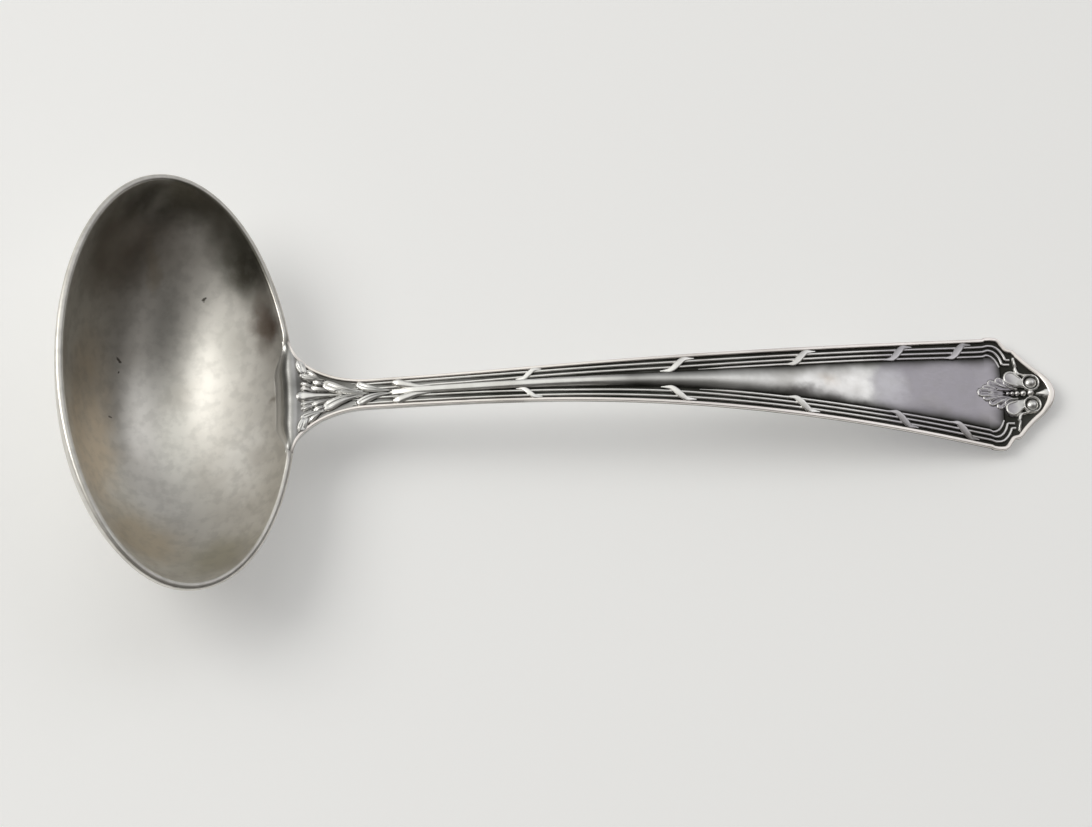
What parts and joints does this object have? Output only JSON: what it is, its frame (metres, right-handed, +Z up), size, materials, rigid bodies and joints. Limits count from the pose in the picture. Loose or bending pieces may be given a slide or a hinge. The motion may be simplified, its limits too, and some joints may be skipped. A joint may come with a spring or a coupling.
{
  "type": "gravy ladle",
  "caption": "Old silver gravy ladle with an oval bowl set across its handle, a reed and ribbon border, leaves at the root and scrolls and beads at the tip",
  "frame": {"origin": "middle of the bounding box in plan, at the table plane under the bowl and the handle's tip", "axes": "X runs along the handle from the bowl (-X) to the tip (+X), Y across the handle along the bowl's long width, Z up with the bowl's mouth upward, lying as it rests on a table"},
  "size_m": [0.1786, 0.0794, 0.0324],
  "materials": {
    "silver": "old silver, softly polished and fine-brushed, toned brown to violet-grey in the bowl and on the handle, near-black tarnish in the grooves and bright worn crests"
  },
  "bodies": {
    "root": {"ladle": "silver"}
  },
  "joints": []
}
